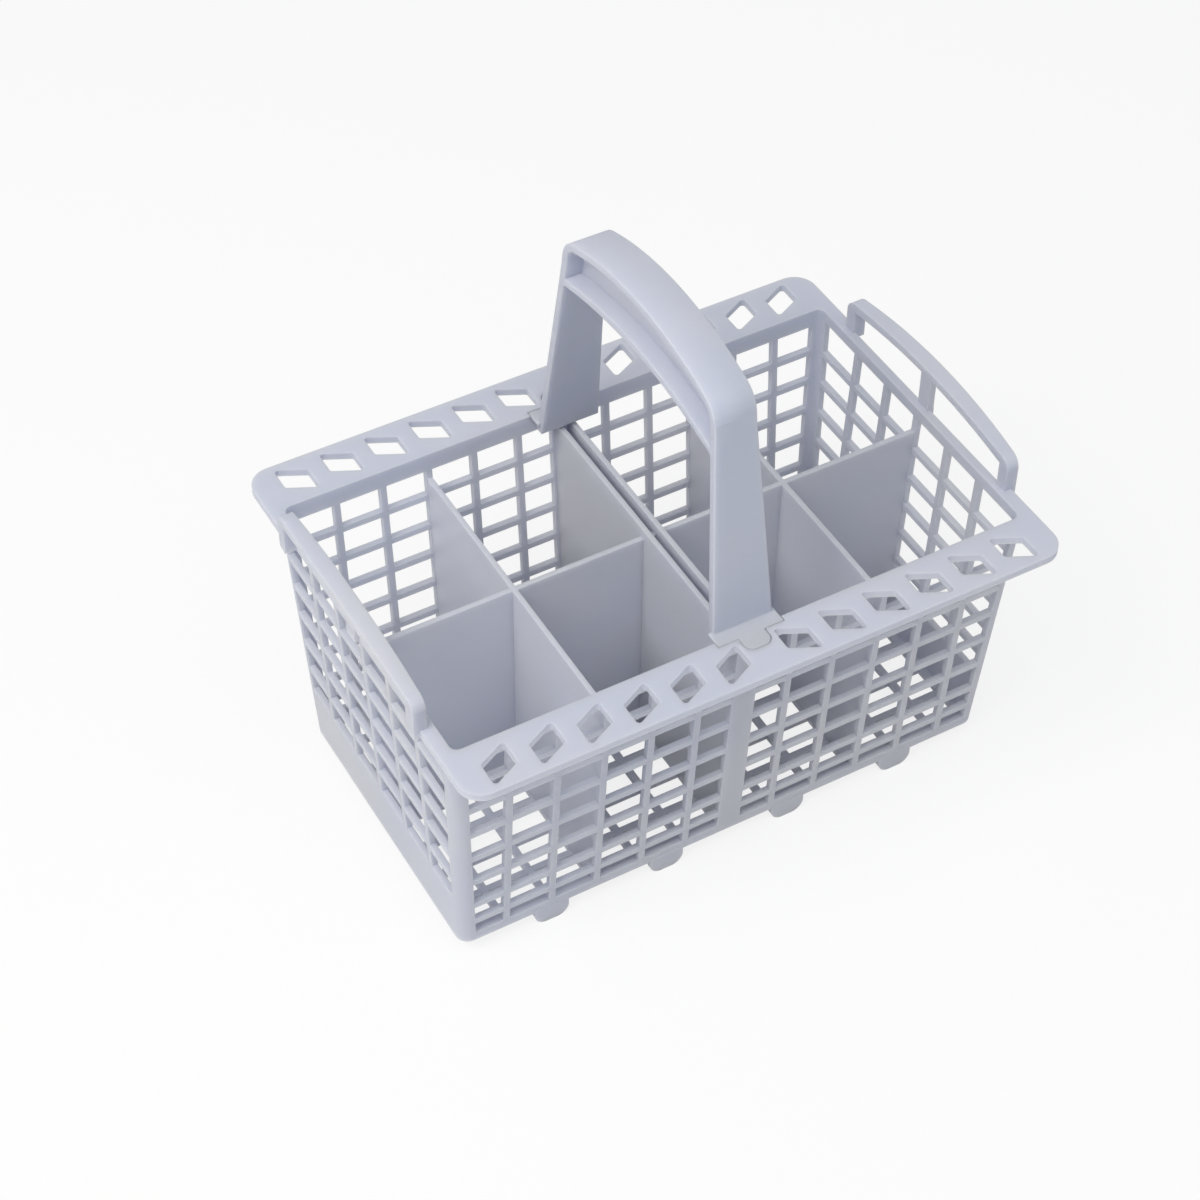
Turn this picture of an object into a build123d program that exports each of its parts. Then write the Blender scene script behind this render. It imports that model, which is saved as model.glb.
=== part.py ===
# Dishwasher cutlery basket: lattice body with eight compartments, and a carrying handle seated on its rim
import os
from build123d import *

os.makedirs("parts", exist_ok=True)

# Body envelope
rim_length = 240.0
rim_width = 176.0
rim_corner = 9.0
rim_thickness = 3.0
body_height = 113.0
base_length = 224.0
base_width = 122.0
base_corner = 5.0
mouth_length = 229.0
mouth_width = 132.0
mouth_corner = 3.0
wall = 2.4
floor_thickness = 2.4

# Lattice of the walls and the floor
bar = 2.6
post = 3.5
cells_per_bay = 3
first_bar_drop = 20.0
bar_pitch = 14.3
long_bars = 6
end_bars = 5
low_bar_drop = 101.5
long_band = 7.5
end_band = 4.5
long_skirt = 4.5
end_skirt = 25.0
floor_bars_per_bay = 3
floor_border = 3.0

# Compartments
bays = 4
bay = 56.25
divider = 2.0
divider_drop = 11.0
twin_gap = 3.2
twin_drop = 7.0

# Slanted drain holes of the two rim flanges
hole_count = 6
hole_first = 13.0
hole_pitch = 18.1
hole_offset = 11.7
hole_width = 11.4
hole_side = 10.4
hole_slant = 5.6
hole_round = 1.2

# Hoops at the two ends
hoop_half = 52.5
hoop_set_in = 2.8
hoop_depth = 5.0
hoop_bow = 1.6
hoop_end_rise = 13.0
hoop_mid_rise = 17.5
hoop_band = 3.0
hoop_upright = 5.0
hoop_post = 6.4
hoop_post_depth = 2.6
hoop_round = 5.0
rail_step = 1.8

# Feet under the long walls
foot_height = 7.0
foot_width = 14.0
foot_thickness = 3.0
foot_round = 5.0
foot_inner = 26.5
foot_outer = 75.0

# Carrying handle
handle_rise = 102.0
shoulder_rise = 92.0
shoulder_round = 11.0
leg_lean = 0.133
leg_drop = 5.0
leg_set_in = 3.5
strap = 3.2
strap_half_top = 8.2
strap_half_foot = 12.2
grip_rise_end = 72.0
grip_rise_mid = 79.0
grip = 3.0
web = 2.6

# Seat of the handle on the rim
seat_half = 13.2
seat_overlap = 2.2
tongue_half = 5.2
tongue_reach = 9.0
tongue_round = 3.5
seat_depth = 1.5
seat_clearance = 0.3

# Heights and half sizes that follow from the values above
base_z = foot_height
rim_z = base_z + body_height
inner_base_length = base_length - 2 * wall
inner_base_width = base_width - 2 * wall
half_mouth = mouth_width / 2


def at_height(low, high, z):
    return low + (high - low) * (z - base_z) / body_height


def inner_length(z):
    return at_height(inner_base_length, mouth_length, z)


def inner_width(z):
    return at_height(inner_base_width, mouth_width, z)


floor_z = base_z + floor_thickness
long_top = rim_z - long_band
long_low = base_z + long_skirt
end_top = rim_z - end_band
end_low = base_z + end_skirt
divider_z = rim_z - divider_drop
twin_z = rim_z - twin_drop
twin_offset = (twin_gap + divider) / 2
row_levels = [rim_z - first_bar_drop - bar_pitch * row for row in range(long_bars)]
cell = bay / cells_per_bay
columns = bays * cells_per_bay
end_cell = inner_width(end_low) / 2 / cells_per_bay
hole_centres = [(hole_first + hole_pitch * k, half_mouth + hole_offset) for k in range(hole_count)]
floor_pitch = inner_base_width / 2 / (floor_bars_per_bay + 1)
divider_places = [(-bay, divider_z), (bay, divider_z), (-twin_offset, twin_z), (twin_offset, twin_z)]

# One slanted drain hole about its own centre
with BuildSketch() as drain_hole:
    with BuildLine():
        Polyline(
            (-hole_width / 2, hole_side / 2 - hole_slant / 2),
            (hole_width / 2, hole_side / 2 + hole_slant / 2),
            (hole_width / 2, hole_slant / 2 - hole_side / 2),
            (-hole_width / 2, -hole_side / 2 - hole_slant / 2),
            close=True,
        )
    make_face()
    fillet(drain_hole.vertices(), hole_round)

# Outline of the handle foot: a seat plate with a rounded tongue, on the +Y rim
with BuildSketch() as seat_outline:
    with Locations((0, half_mouth)):
        Rectangle(2 * seat_half, 2 * seat_overlap)
    with Locations((0, half_mouth + tongue_reach / 2)):
        Rectangle(2 * tongue_half, tongue_reach)
    fillet(seat_outline.vertices().group_by(Axis.Y)[-1], tongue_round)

# End hoop on the +X side: two uprights, an arched band and a thin middle post
hoop_x = rim_length / 2 - hoop_set_in
hoop_foot_z = rim_z - rim_thickness
with BuildPart() as hoop:
    with BuildSketch(Plane.YZ.offset(hoop_x)) as hoop_face:
        with BuildLine():
            ThreePointArc(
                (-hoop_half, rim_z + hoop_end_rise),
                (0, rim_z + hoop_mid_rise),
                (hoop_half, rim_z + hoop_end_rise),
            )
            Polyline(
                (hoop_half, rim_z + hoop_end_rise),
                (hoop_half, hoop_foot_z),
                (-hoop_half, hoop_foot_z),
                (-hoop_half, rim_z + hoop_end_rise),
            )
        make_face()
        fillet(hoop_face.vertices().group_by(Axis.Y)[-1], hoop_round)
        with BuildLine():
            ThreePointArc(
                (hoop_upright - hoop_half, rim_z + hoop_end_rise - hoop_band),
                (0, rim_z + hoop_mid_rise - hoop_band),
                (hoop_half - hoop_upright, rim_z + hoop_end_rise - hoop_band),
            )
            Polyline(
                (hoop_half - hoop_upright, rim_z + hoop_end_rise - hoop_band),
                (hoop_half - hoop_upright, hoop_foot_z),
                (hoop_upright - hoop_half, hoop_foot_z),
                (hoop_upright - hoop_half, rim_z + hoop_end_rise - hoop_band),
            )
        make_face(mode=Mode.SUBTRACT)
    extrude(amount=hoop_depth + hoop_bow)
    with BuildSketch(Plane.XY.offset(hoop_foot_z)) as hoop_plan:
        with BuildLine():
            ThreePointArc(
                (hoop_x + hoop_depth, -hoop_half),
                (hoop_x + hoop_depth + hoop_bow, 0),
                (hoop_x + hoop_depth, hoop_half),
            )
            Polyline(
                (hoop_x + hoop_depth, hoop_half),
                (hoop_x, hoop_half),
                (hoop_x, -hoop_half),
                (hoop_x + hoop_depth, -hoop_half),
            )
        make_face()
    extrude(amount=rim_thickness + hoop_mid_rise, mode=Mode.INTERSECT)
    with BuildSketch(Plane.YZ.offset(hoop_x)):
        with Locations((0, (hoop_foot_z + rim_z + hoop_mid_rise - hoop_band / 2) / 2)):
            Rectangle(hoop_post, rim_thickness + hoop_mid_rise - hoop_band / 2)
    extrude(amount=hoop_post_depth)

with BuildPart() as basket_body:
    # Drafted outer block
    with BuildSketch(Plane.XY.offset(base_z)):
        RectangleRounded(base_length, base_width, base_corner)
    with BuildSketch(Plane.XY.offset(rim_z)):
        RectangleRounded(mouth_length + 2 * wall, mouth_width + 2 * wall, mouth_corner + wall)
    loft()
    # Drafted hollow above the floor
    with BuildSketch(Plane.XY.offset(floor_z)):
        RectangleRounded(inner_length(floor_z), inner_width(floor_z), base_corner - wall)
    with BuildSketch(Plane.XY.offset(rim_z)):
        RectangleRounded(mouth_length, mouth_width, mouth_corner)
    loft(mode=Mode.SUBTRACT)
    # Windows of the two long walls
    with BuildSketch(Plane.XZ):
        Polygon(
            (-inner_length(long_low) / 2 + post, long_low),
            (inner_length(long_low) / 2 - post, long_low),
            (inner_length(long_top) / 2 - post, long_top),
            (-inner_length(long_top) / 2 + post, long_top),
            align=None,
        )
        with GridLocations(cell, 0, columns - 1, 1):
            Rectangle(bar, 4 * body_height, mode=Mode.SUBTRACT)
        Rectangle(twin_gap + 2 * divider + bar, 4 * body_height, mode=Mode.SUBTRACT)
        with Locations(*[(0, level) for level in row_levels], (0, rim_z - low_bar_drop)):
            Rectangle(rim_length, bar, mode=Mode.SUBTRACT)
    extrude(amount=rim_width, both=True, mode=Mode.SUBTRACT)
    # Windows of the two end walls
    with BuildSketch(Plane.YZ):
        Polygon(
            (-inner_width(end_low) / 2 + post, end_low),
            (inner_width(end_low) / 2 - post, end_low),
            (inner_width(end_top) / 2 - post, end_top),
            (-inner_width(end_top) / 2 + post, end_top),
            align=None,
        )
        with GridLocations(end_cell, 0, 2 * cells_per_bay - 1, 1):
            Rectangle(bar, 4 * body_height, mode=Mode.SUBTRACT)
        with Locations(*[(0, level) for level in row_levels[:end_bars]]):
            Rectangle(rim_width, bar, mode=Mode.SUBTRACT)
    extrude(amount=rim_length, both=True, mode=Mode.SUBTRACT)
    # Openings of the floor
    with BuildSketch(Plane.XY.offset(base_z)):
        Rectangle(inner_base_length - 2 * floor_border, inner_base_width - 2 * floor_border)
        with GridLocations(cell, 0, columns - 1, 1):
            Rectangle(bar, base_width, mode=Mode.SUBTRACT)
        with GridLocations(0, floor_pitch, 1, 2 * floor_bars_per_bay + 1):
            Rectangle(base_length, bar, mode=Mode.SUBTRACT)
        Rectangle(twin_gap + 2 * divider, base_width, mode=Mode.SUBTRACT)
    extrude(amount=floor_thickness, mode=Mode.SUBTRACT)
    # Cross dividers between the bays
    for offset_x, top in divider_places:
        with BuildSketch(Plane.YZ.offset(offset_x)):
            Polygon(
                (-(inner_width(base_z) + wall) / 2, base_z),
                ((inner_width(base_z) + wall) / 2, base_z),
                ((inner_width(top) + wall) / 2, top),
                (-(inner_width(top) + wall) / 2, top),
                align=None,
            )
        extrude(amount=divider / 2, both=True)
    # Lengthwise divider
    with BuildSketch(Plane.XZ):
        Polygon(
            (-(inner_length(base_z) + wall) / 2, base_z),
            ((inner_length(base_z) + wall) / 2, base_z),
            ((inner_length(divider_z) + wall) / 2, divider_z),
            (-(inner_length(divider_z) + wall) / 2, divider_z),
            align=None,
        )
    extrude(amount=divider / 2, both=True)
    # Rim plate around the mouth
    with BuildSketch(Plane.XY.offset(rim_z)):
        RectangleRounded(rim_length, rim_width, rim_corner)
        RectangleRounded(mouth_length, mouth_width, mouth_corner, mode=Mode.SUBTRACT)
    extrude(amount=-rim_thickness)
    # End rails set back between the uprights of the hoops
    slot_length = hoop_half - hoop_upright - hoop_post / 2
    with BuildSketch(Plane.XY.offset(rim_z)):
        with GridLocations(rim_length, slot_length + hoop_post, 2, 2):
            Rectangle(2 * rail_step, slot_length)
    extrude(amount=-rim_thickness, mode=Mode.SUBTRACT)
    # Drain holes of the flanges, alike in all four quarters
    with BuildSketch(Plane.XY.offset(rim_z)):
        with Locations(*hole_centres):
            add(drain_hole.sketch)
        mirror(about=Plane.YZ)
        mirror(about=Plane.XZ)
    extrude(amount=-rim_thickness, mode=Mode.SUBTRACT)
    # Hoops
    add(hoop.part)
    mirror(hoop.part, about=Plane.YZ)
    # Feet under the long walls
    foot_y = base_width / 2 - wall / 2
    for side in (-1, 1):
        with BuildSketch(Plane.XZ.offset(side * foot_y)) as feet:
            with Locations(*[(x, base_z) for x in (-foot_outer, -foot_inner, foot_inner, foot_outer)]):
                Rectangle(foot_width, 2 * foot_height)
            fillet(feet.vertices().group_by(Axis.Y)[0], foot_round)
            with Locations((0, base_z + floor_thickness / 2 + foot_height)):
                Rectangle(rim_length, 2 * foot_height, mode=Mode.SUBTRACT)
        extrude(amount=foot_thickness / 2, both=True)
    # Seats for the handle feet
    with BuildSketch(Plane.XY.offset(rim_z)):
        add(seat_outline.sketch)
        offset(amount=seat_clearance)
        mirror(about=Plane.XZ)
    extrude(amount=-seat_depth, mode=Mode.SUBTRACT)

basket_body.part.label = "basket_body"
export_step(basket_body.part, "parts/basket_body.step")

# Leg lines of the handle: outer face of a leg at the rim, at the shoulder and at its lower end
leg_y = half_mouth - leg_set_in
shoulder_y = leg_y - leg_lean * shoulder_rise
low_z = rim_z - leg_drop
trim_z = low_z - 3 * strap
trim_y = leg_y + leg_lean * (rim_z - trim_z)
grip_y = leg_y - leg_lean * grip_rise_end - strap / 2
shoulder_z = rim_z + shoulder_rise
handle_z = rim_z + handle_rise

with BuildPart() as carrying_handle:
    # Strap bent over the basket
    with BuildSketch(Plane.YZ) as strap_loop:
        with BuildLine():
            ThreePointArc((-shoulder_y, shoulder_z), (0, handle_z), (shoulder_y, shoulder_z))
            Polyline(
                (shoulder_y, shoulder_z),
                (trim_y, trim_z),
                (-trim_y, trim_z),
                (-shoulder_y, shoulder_z),
            )
        make_face()
        fillet(strap_loop.vertices().group_by(Axis.Y)[-1], shoulder_round)
        offset(amount=-strap, mode=Mode.SUBTRACT)
    extrude(amount=strap_half_foot * 2, both=True)
    # Arched grip below the top of the strap
    with BuildSketch(Plane.YZ):
        with BuildLine():
            ThreePointArc(
                (-grip_y, rim_z + grip_rise_end),
                (0, rim_z + grip_rise_mid),
                (grip_y, rim_z + grip_rise_end),
            )
            Line((grip_y, rim_z + grip_rise_end), (grip_y, rim_z + grip_rise_end + grip))
            ThreePointArc(
                (grip_y, rim_z + grip_rise_end + grip),
                (0, rim_z + grip_rise_mid + grip),
                (-grip_y, rim_z + grip_rise_end + grip),
            )
            Line((-grip_y, rim_z + grip_rise_end + grip), (-grip_y, rim_z + grip_rise_end))
        make_face()
    extrude(amount=strap_half_foot * 2, both=True)
    # Strap narrows from the feet to the top
    with BuildSketch(Plane.XZ):
        Polygon(
            (-strap_half_foot, low_z),
            (strap_half_foot, low_z),
            (strap_half_top, shoulder_z - shoulder_round),
            (strap_half_top, handle_z + strap),
            (-strap_half_top, handle_z + strap),
            (-strap_half_top, shoulder_z - shoulder_round),
            align=None,
        )
    extrude(amount=rim_width, both=True, mode=Mode.INTERSECT)
    # Web that ties the grip to the strap
    with BuildSketch(Plane.YZ) as web_face:
        with BuildLine():
            ThreePointArc(
                (-shoulder_y + strap / 2, shoulder_z - strap / 2),
                (0, handle_z - strap / 2),
                (shoulder_y - strap / 2, shoulder_z - strap / 2),
            )
            Line(
                (shoulder_y - strap / 2, shoulder_z - strap / 2),
                (grip_y, rim_z + grip_rise_end + grip / 2),
            )
            ThreePointArc(
                (grip_y, rim_z + grip_rise_end + grip / 2),
                (0, rim_z + grip_rise_mid + grip / 2),
                (-grip_y, rim_z + grip_rise_end + grip / 2),
            )
            Line(
                (-grip_y, rim_z + grip_rise_end + grip / 2),
                (-shoulder_y + strap / 2, shoulder_z - strap / 2),
            )
        make_face()
        fillet(web_face.vertices().group_by(Axis.Y)[-1], shoulder_round - strap / 2)
    extrude(amount=web / 2, both=True)
    # Feet: seat plates with tongues, flush with the rim
    with BuildSketch(Plane.XY.offset(rim_z - seat_depth)):
        add(seat_outline.sketch)
        with Locations((0, half_mouth - leg_set_in / 2)):
            Rectangle(2 * seat_half, leg_set_in + strap)
        mirror(about=Plane.XZ)
    extrude(amount=seat_depth)

carrying_handle.part.label = "carrying_handle"
export_step(carrying_handle.part, "parts/carrying_handle.step")
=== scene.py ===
# %% [markdown]
# # A cutlery basket in moulded plastic
# The basket is two plastic mouldings: a lattice body and a carrying handle that is seated on its rim. Both come
# from the CAD frame in their right place and size, so this lesson is about what makes plain plastic look real:
# soft edges on the handle, a fine moulded skin, a tone that drifts a little over the part, and quiet studio light.

import math

import bpy
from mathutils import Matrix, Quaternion, Vector

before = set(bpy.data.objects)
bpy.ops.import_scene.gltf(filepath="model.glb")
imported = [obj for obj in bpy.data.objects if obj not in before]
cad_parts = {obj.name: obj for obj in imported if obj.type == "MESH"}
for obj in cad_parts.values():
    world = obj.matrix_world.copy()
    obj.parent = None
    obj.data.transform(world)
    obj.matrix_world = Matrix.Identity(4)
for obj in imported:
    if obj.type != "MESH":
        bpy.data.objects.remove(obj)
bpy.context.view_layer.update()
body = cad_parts["basket_body"]
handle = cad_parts["carrying_handle"]

# %% [markdown]
# ## Soft edges on the handle
# A hand holds the handle, so its mould has a small radius along every edge. The frame's mesh must not be changed,
# but modifiers may finish it. A Weld joins its loose triangles, a planar Decimate takes out the lines inside flat
# faces, and a Bevel limited by angle rounds the real corners. The Bevel's clamp is off, because it cuts every edge
# down to suit the shortest one. The lattice body keeps its crisp edges: its many short edges fold over each other
# under the same Bevel.

# %% Round the corners of the handle
EDGE_RADIUS = 0.0004
SAME_POINT = 0.00001
FLAT_ANGLE = math.radians(1)
CORNER_ANGLE = math.radians(40)

weld = handle.modifiers.new("join_triangles", "WELD")
weld.merge_threshold = SAME_POINT
flatten = handle.modifiers.new("plain_faces", "DECIMATE")
flatten.decimate_type = "DISSOLVE"
flatten.angle_limit = FLAT_ANGLE
round_off = handle.modifiers.new("soft_corners", "BEVEL")
round_off.width = EDGE_RADIUS
round_off.segments = 2
round_off.limit_method = "ANGLE"
round_off.angle_limit = CORNER_ANGLE
round_off.use_clamp_overlap = False
rounded = handle.evaluated_get(bpy.context.evaluated_depsgraph_get())
print("handle faces", len(handle.data.polygons), "before and", len(rounded.data.polygons), "after rounding")

# %% [markdown]
# ## The skin of a moulding
# Seen close, moulded polypropylene has a fine grain from the mould and faint flow marks. Both mouldings show it, so
# it is one node group with its own inputs. It gives a height for the bump and a roughness that follows the flow.

# %% Node group for the moulded skin
GRAIN_SHARE = 0.35
FLOW_RANGE = (0.3, 0.7)
ROUGHNESS_RANGE = (0.40, 0.54)


def new_group(name):
    group = bpy.data.node_groups.new(name, "ShaderNodeTree")
    return group, group.nodes, group.links


def add_socket(group, name, kind, direction, value=None):
    socket = group.interface.new_socket(name=name, in_out=direction, socket_type=kind)
    if value is not None:
        socket.default_value = value


skin, nodes, links = new_group("moulded_skin")
add_socket(skin, "Grain size", "NodeSocketFloat", "INPUT", 900.0)
add_socket(skin, "Flow size", "NodeSocketFloat", "INPUT", 22.0)
add_socket(skin, "Height", "NodeSocketFloat", "OUTPUT")
add_socket(skin, "Roughness", "NodeSocketFloat", "OUTPUT")

inputs = nodes.new("NodeGroupInput")
outputs = nodes.new("NodeGroupOutput")
place = nodes.new("ShaderNodeTexCoord")
grain = nodes.new("ShaderNodeTexNoise")
grain.inputs["Detail"].default_value = 3.0
flow = nodes.new("ShaderNodeTexNoise")
flow.inputs["Detail"].default_value = 2.0
flow.inputs["Distortion"].default_value = 0.6
links.new(place.outputs["Object"], grain.inputs["Vector"])
links.new(place.outputs["Object"], flow.inputs["Vector"])
links.new(inputs.outputs["Grain size"], grain.inputs["Scale"])
links.new(inputs.outputs["Flow size"], flow.inputs["Scale"])
sum_height = nodes.new("ShaderNodeMath")
sum_height.operation = "MULTIPLY_ADD"
sum_height.inputs[1].default_value = GRAIN_SHARE
links.new(grain.outputs["Fac"], sum_height.inputs[0])
links.new(flow.outputs["Fac"], sum_height.inputs[2])
links.new(sum_height.outputs[0], outputs.inputs["Height"])
spread = nodes.new("ShaderNodeMapRange")
spread.inputs["From Min"].default_value, spread.inputs["From Max"].default_value = FLOW_RANGE
spread.inputs["To Min"].default_value, spread.inputs["To Max"].default_value = ROUGHNESS_RANGE
links.new(flow.outputs["Fac"], spread.inputs["Value"])
links.new(spread.outputs["Result"], outputs.inputs["Roughness"])
print("group", skin.name, "sockets", [s.name for s in skin.interface.items_tree])

# %% [markdown]
# ## A tone that drifts
# Pale grey plastic is never quite one colour: the pigment drifts between a lavender and a slightly warmer grey. A
# painted image could show that, but it would need a map of the lattice. A second group mixes the two tones by a
# broad noise on Object coordinates instead, so the drift runs through both sides of every bar.

# %% Node group for the drifting tone
DRIFT_RANGE = (0.35, 0.65)

tone, nodes, links = new_group("drifting_tone")
add_socket(tone, "Cool", "NodeSocketColor", "INPUT")
add_socket(tone, "Warm", "NodeSocketColor", "INPUT")
add_socket(tone, "Drift size", "NodeSocketFloat", "INPUT", 9.0)
add_socket(tone, "Color", "NodeSocketColor", "OUTPUT")

inputs = nodes.new("NodeGroupInput")
outputs = nodes.new("NodeGroupOutput")
place = nodes.new("ShaderNodeTexCoord")
drift = nodes.new("ShaderNodeTexNoise")
drift.inputs["Detail"].default_value = 3.0
drift.inputs["Roughness"].default_value = 0.55
links.new(place.outputs["Object"], drift.inputs["Vector"])
links.new(inputs.outputs["Drift size"], drift.inputs["Scale"])
ease = nodes.new("ShaderNodeMapRange")
ease.interpolation_type = "SMOOTHSTEP"
ease.inputs["From Min"].default_value, ease.inputs["From Max"].default_value = DRIFT_RANGE
links.new(drift.outputs["Fac"], ease.inputs["Value"])
blend = nodes.new("ShaderNodeMix")
blend.data_type = "RGBA"
links.new(ease.outputs["Result"], blend.inputs["Factor"])
links.new(inputs.outputs["Cool"], blend.inputs["A"])
links.new(inputs.outputs["Warm"], blend.inputs["B"])
links.new(blend.outputs["Result"], outputs.inputs["Color"])
print("group", tone.name, "sockets", [s.name for s in tone.interface.items_tree])

# %% [markdown]
# ## The two plastics
# Body and handle are taken as the same polymer, moulded apart, so they differ a little in tone and grain. The shader
# stays in the material: a satin surface, and light scattered a few millimetres deep. Thin polypropylene walls let
# some light through, which keeps the inside of a pale basket from turning dark.

# %% Materials of the body and the handle
SCATTER_DEPTH = 0.007
BUMP_DEPTH = 0.0004


def plastic(name, cool, warm, grain_size, drift_size):
    material = bpy.data.materials.new(name)
    material.use_nodes = True
    nodes, links = material.node_tree.nodes, material.node_tree.links
    shader = nodes["Principled BSDF"]
    shader.inputs["Specular IOR Level"].default_value = 0.42
    shader.inputs["Subsurface Weight"].default_value = 0.7
    shader.inputs["Subsurface Radius"].default_value = (1.0, 1.0, 1.15)
    shader.inputs["Subsurface Scale"].default_value = SCATTER_DEPTH
    colour = nodes.new("ShaderNodeGroup")
    colour.node_tree = tone
    colour.inputs["Cool"].default_value = (*cool, 1.0)
    colour.inputs["Warm"].default_value = (*warm, 1.0)
    colour.inputs["Drift size"].default_value = drift_size
    surface = nodes.new("ShaderNodeGroup")
    surface.node_tree = skin
    surface.inputs["Grain size"].default_value = grain_size
    bump = nodes.new("ShaderNodeBump")
    bump.inputs["Strength"].default_value = 0.12
    bump.inputs["Distance"].default_value = BUMP_DEPTH
    links.new(colour.outputs["Color"], shader.inputs["Base Color"])
    links.new(surface.outputs["Roughness"], shader.inputs["Roughness"])
    links.new(surface.outputs["Height"], bump.inputs["Height"])
    links.new(bump.outputs["Normal"], shader.inputs["Normal"])
    return material


body_plastic = plastic(
    "basket_plastic",
    cool=(0.545, 0.567, 0.655),
    warm=(0.58, 0.587, 0.642),
    grain_size=900.0,
    drift_size=9.0,
)
handle_plastic = plastic(
    "handle_plastic",
    cool=(0.53, 0.555, 0.65),
    warm=(0.56, 0.575, 0.645),
    grain_size=1100.0,
    drift_size=14.0,
)
for moulding, material in ((body, body_plastic), (handle, handle_plastic)):
    moulding.material_slots[0].material = material
    print(moulding.name, "wears", material.name)

# %% [markdown]
# ## Floor and light
# A pale floor and broad soft light show plastic best. One large, slightly warm lamp high on the left lights the tops
# and the left faces, a weak cool card above the front reaches into the compartments, and the room and the floor's
# own bounce keep the shaded sides readable. To the camera the room is plain white, and the floor is mostly white
# too, but it still takes the basket's soft shadow.

# %% Pale floor
FLOOR_SIZE = 6.0
FLOOR_WHITE_SHARE = 0.82


def seen_directly(nodes, links):
    """A value of 1 for rays that show a thing to the camera, straight, in a reflection or through a clear wall."""
    path = nodes.new("ShaderNodeLightPath")
    straight = nodes.new("ShaderNodeMath")
    straight.operation = "MAXIMUM"
    shown = nodes.new("ShaderNodeMath")
    shown.operation = "MAXIMUM"
    links.new(path.outputs["Is Camera Ray"], straight.inputs[0])
    links.new(path.outputs["Is Glossy Ray"], straight.inputs[1])
    links.new(straight.outputs[0], shown.inputs[0])
    links.new(path.outputs["Is Transmission Ray"], shown.inputs[1])
    return shown.outputs[0]


bpy.ops.mesh.primitive_plane_add(size=FLOOR_SIZE, location=(0.0, 0.0, 0.0))
floor = bpy.context.object
floor.name = "floor"
paper = bpy.data.materials.new("floor_paper")
paper.use_nodes = True
nodes, links = paper.node_tree.nodes, paper.node_tree.links
nodes.clear()
matte = nodes.new("ShaderNodeBsdfDiffuse")
matte.inputs["Color"].default_value = (0.93, 0.93, 0.93, 1.0)
white = nodes.new("ShaderNodeEmission")
white.inputs["Strength"].default_value = 1.0
share = nodes.new("ShaderNodeMath")
share.operation = "MULTIPLY"
share.inputs[1].default_value = FLOOR_WHITE_SHARE
mix = nodes.new("ShaderNodeMixShader")
out = nodes.new("ShaderNodeOutputMaterial")
links.new(seen_directly(nodes, links), share.inputs[0])
links.new(share.outputs[0], mix.inputs["Fac"])
links.new(matte.outputs["BSDF"], mix.inputs[1])
links.new(white.outputs["Emission"], mix.inputs[2])
links.new(mix.outputs["Shader"], out.inputs["Surface"])
floor.data.materials.append(paper)
print("floor", floor.name, "wears", paper.name)

# %% Lamps
LAMP_AIM = Vector((0.0, 0.0, 0.1))


def lamp(name, place, size, power, tint):
    data = bpy.data.lights.new(name, "AREA")
    data.size = size
    data.energy = power
    data.color = tint
    light = bpy.data.objects.new(name, data)
    light.location = place
    light.rotation_euler = (LAMP_AIM - Vector(place)).to_track_quat("-Z", "Y").to_euler()
    bpy.context.scene.collection.objects.link(light)
    return light


key = lamp("window_left", (-1.1, -0.25, 1.5), size=1.0, power=20.0, tint=(1.0, 0.97, 0.92))
card = lamp("card_above", (-0.1, -0.75, 1.6), size=1.2, power=7.0, tint=(0.94, 0.97, 1.0))
print("lamps", key.name, key.data.energy, "W,", card.name, card.data.energy, "W")

# %% World
ROOM_LIGHT = 0.34

world = bpy.data.worlds.new("studio")
bpy.context.scene.world = world
world.use_nodes = True
nodes, links = world.node_tree.nodes, world.node_tree.links
nodes.clear()
room = nodes.new("ShaderNodeBackground")
room.inputs["Color"].default_value = (0.93, 0.97, 1.0, 1.0)
room.inputs["Strength"].default_value = ROOM_LIGHT
seen = nodes.new("ShaderNodeBackground")
seen.inputs["Color"].default_value = (1.0, 1.0, 1.0, 1.0)
seen.inputs["Strength"].default_value = 1.0
mix = nodes.new("ShaderNodeMixShader")
out = nodes.new("ShaderNodeOutputWorld")
links.new(seen_directly(nodes, links), mix.inputs["Fac"])
links.new(room.outputs["Background"], mix.inputs[1])
links.new(seen.outputs["Background"], mix.inputs[2])
links.new(mix.outputs["Shader"], out.inputs["Surface"])
print("world", world.name, "lights the room at", ROOM_LIGHT)

# %% [markdown]
# ## Camera
# The camera stands to the left of the basket and well above it, and looks at a point level with the rim, a little to
# the left and front of the middle. A long lens keeps the far edge nearly as wide as the near one, and a slight roll
# follows the way that the photograph was held.

# %% Camera at the photograph's angle
CAMERA_PLACE = Vector((-0.37855, -0.61810, 0.82554))
CAMERA_AIM = Vector((-0.03765, -0.02894, 0.12))
CAMERA_ROLL = math.radians(0.669)

lens = bpy.data.cameras.new("camera")
lens.sensor_width = 36.0
lens.lens = 84.576
camera = bpy.data.objects.new("camera", lens)
camera.location = CAMERA_PLACE
look = (CAMERA_AIM - CAMERA_PLACE).to_track_quat("-Z", "Y")
camera.rotation_euler = (look @ Quaternion((0.0, 0.0, 1.0), CAMERA_ROLL)).to_euler()
bpy.context.scene.collection.objects.link(camera)
bpy.context.scene.camera = camera
bpy.context.scene.view_settings.view_transform = "Standard"
print("camera", [round(v, 3) for v in camera.location])
